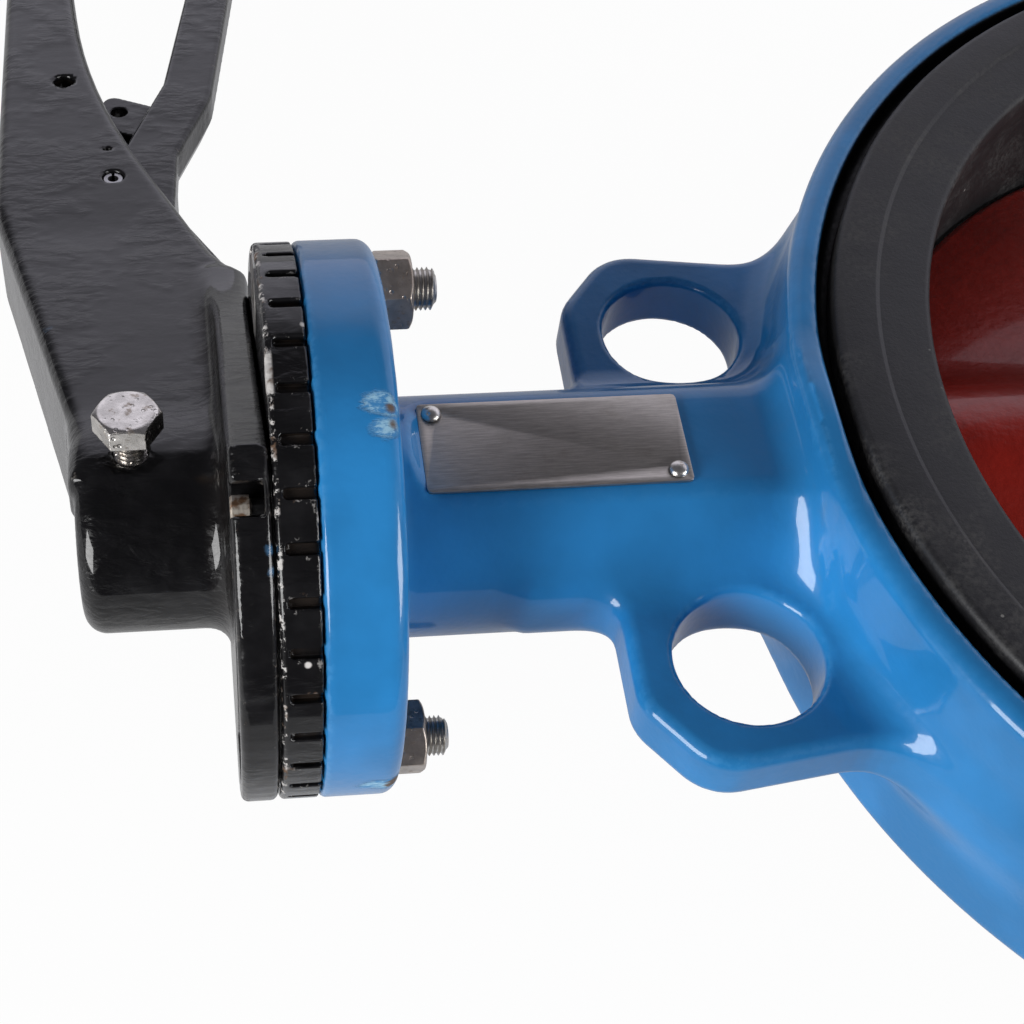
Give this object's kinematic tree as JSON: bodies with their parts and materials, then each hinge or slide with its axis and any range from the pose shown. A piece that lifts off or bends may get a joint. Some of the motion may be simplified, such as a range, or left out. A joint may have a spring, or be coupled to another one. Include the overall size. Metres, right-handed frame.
{
  "type": "butterfly valve",
  "caption": "Wafer butterfly valve with a rubber-lined bore, a hinged disc on a split stem, and a hand lever whose trigger drops into a notched plate.",
  "frame": {"origin": "centre of the bore, midway between the two pipe faces", "axes": "+Z along the pipe, -X along the stem to the hand lever, and +Y the way the lever points when the valve is closed"},
  "size_m": [0.5275, 0.5036, 0.1247],
  "materials": {
    "blue_paint": "gloss",
    "black_paint": "gloss",
    "red_coating": "gloss",
    "liner_rubber": "matte",
    "seal_rubber": "matte",
    "stainless": "satin",
    "bare_steel": "rough",
    "bronze": "satin",
    "spring_steel": "satin"
  },
  "bodies": {
    "valve": {"valve_body": "blue_paint", "liner": "liner_rubber", "upper_bush": "bronze", "middle_bush": "bronze", "lower_bush": "bronze", "stem_o_ring_inner": "seal_rubber", "stem_o_ring_outer": "seal_rubber", "foot_plug": "stainless", "nameplate": "stainless", "nameplate_rivet_outer": "stainless", "nameplate_rivet_inner": "stainless", "notch_plate": "black_paint", "upper_plate_bolt": "stainless", "lower_plate_bolt": "stainless", "upper_plate_nut": "stainless", "lower_plate_nut": "stainless", "stop_pin": "bare_steel"},
    "turning_set": {"disc": "red_coating", "stem": "stainless", "stub_shaft": "stainless", "upper_taper_pin_inner": "stainless", "upper_taper_pin_outer": "stainless", "lower_taper_pin": "stainless", "stem_circlip": "spring_steel", "hand_lever": "black_paint", "clamp_bolt": "stainless", "pivot_pin": "spring_steel", "trigger_spring": "spring_steel"},
    "trigger": {"trigger_lever": "black_paint"}
  },
  "joints": [
    {"name": "stem_turn", "type": "hinge", "parent": "valve", "child": "turning_set", "pos_m": [0, 0, 0], "axis": [-1, 0, 0], "range_deg": [-10, 80]},
    {"name": "trigger_squeeze", "type": "hinge", "parent": "turning_set", "child": "trigger", "pos_m": [-0.3018, 0.11251, -0.01641], "axis": [0, 0.1444, 0.9895], "range_deg": [-2.5, 5], "stiffness_Nm_per_rad": 12, "deforming": ["trigger_spring"]}
  ]
}
